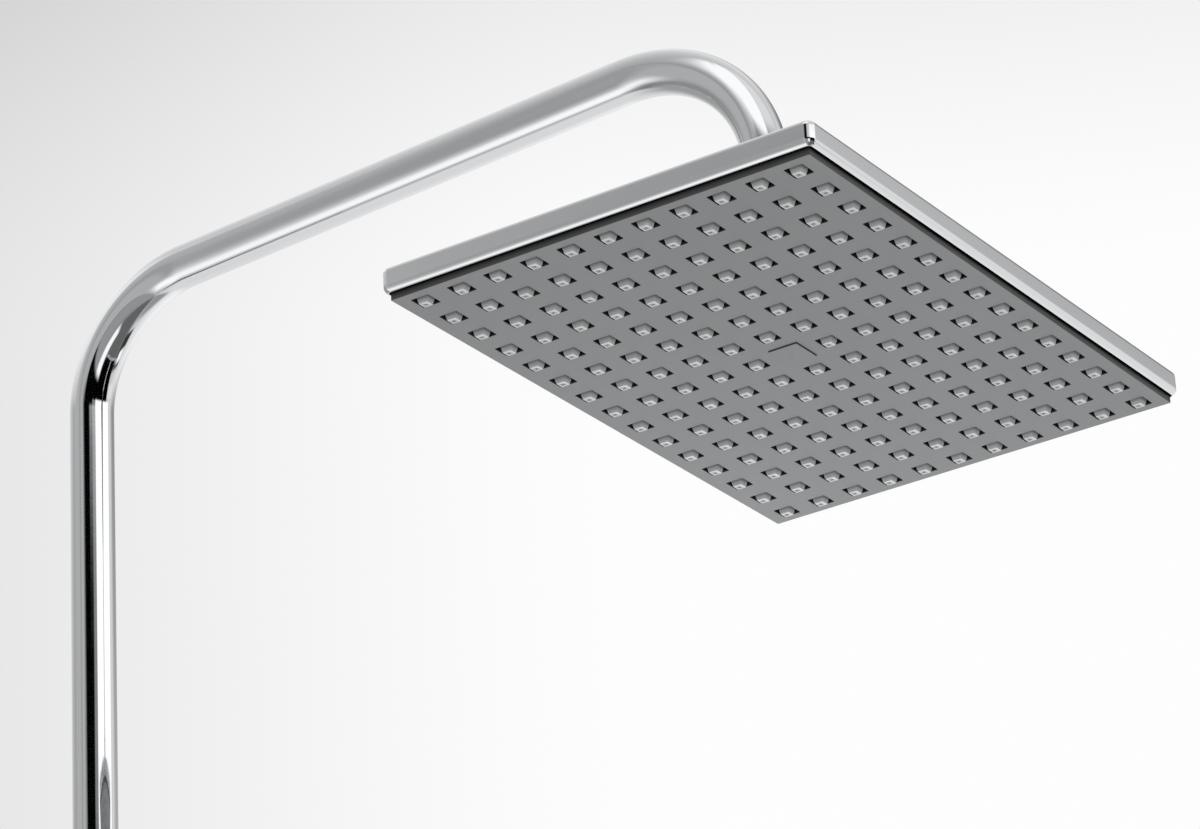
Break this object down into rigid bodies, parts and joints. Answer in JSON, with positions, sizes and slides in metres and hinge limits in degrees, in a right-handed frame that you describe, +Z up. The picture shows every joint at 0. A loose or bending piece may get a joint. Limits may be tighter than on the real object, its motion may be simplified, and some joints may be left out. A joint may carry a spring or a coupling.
{
  "type": "overhead shower head on a bent riser arm",
  "caption": "Flat rectangular overhead shower head with a grid of square silicone nozzles, hung by a swivel ball joint from a bent, chromed riser arm with an open lower end.",
  "frame": {"origin": "centre of the riser arm's lower cut end", "axes": "+X along the long side of the head, square to the arm; +Y towards the wall, so that the arm reaches out along -Y; +Z up, along the riser"},
  "size_m": [0.294, 0.4755, 0.2909],
  "materials": {
    "chromed_brass": "polished",
    "plain_brass": "satin",
    "chromed_plastic": "polished",
    "grey_plastic": "satin",
    "dark_plastic": "matte",
    "white_plastic": "satin",
    "grey_silicone": "satin",
    "black_rubber": "matte",
    "steel": "satin"
  },
  "bodies": {
    "arm": {"riser_arm": "chromed_brass", "arm_nipple": "plain_brass", "inlet_washer": "black_rubber", "filter_screen": "steel", "flow_regulator": "white_plastic", "ball_stud": "chromed_brass"},
    "liner": {"ball_liner": "white_plastic"},
    "seat": {"friction_ring": "white_plastic"},
    "head": {"ball_seal": "black_rubber", "joint_socket": "chromed_brass", "collar_nut": "chromed_brass", "inlet_bush": "plain_brass", "head_shell": "chromed_plastic", "chamber_plate": "dark_plastic", "nozzle_mat": "grey_silicone", "face_plate": "grey_plastic", "centre_screw": "steel", "centre_cap": "grey_plastic", "socket_washer": "black_rubber", "shell_gasket": "black_rubber", "chamber_screws": "steel"}
  },
  "joints": [
    {"name": "tilt_front", "type": "hinge", "parent": "arm", "child": "liner", "pos_m": [0, -0.365, 0.161], "axis": [1, 0, 0], "range_deg": [-20, 9]},
    {"name": "tilt_side", "type": "hinge", "parent": "liner", "child": "seat", "pos_m": [0, -0.365, 0.161], "axis": [0, 1, 0], "range_deg": [-14, 14]},
    {"name": "turn", "type": "hinge", "parent": "seat", "child": "head", "pos_m": [0, -0.365, 0.161], "axis": [0, 0, 1], "continuous": true}
  ]
}
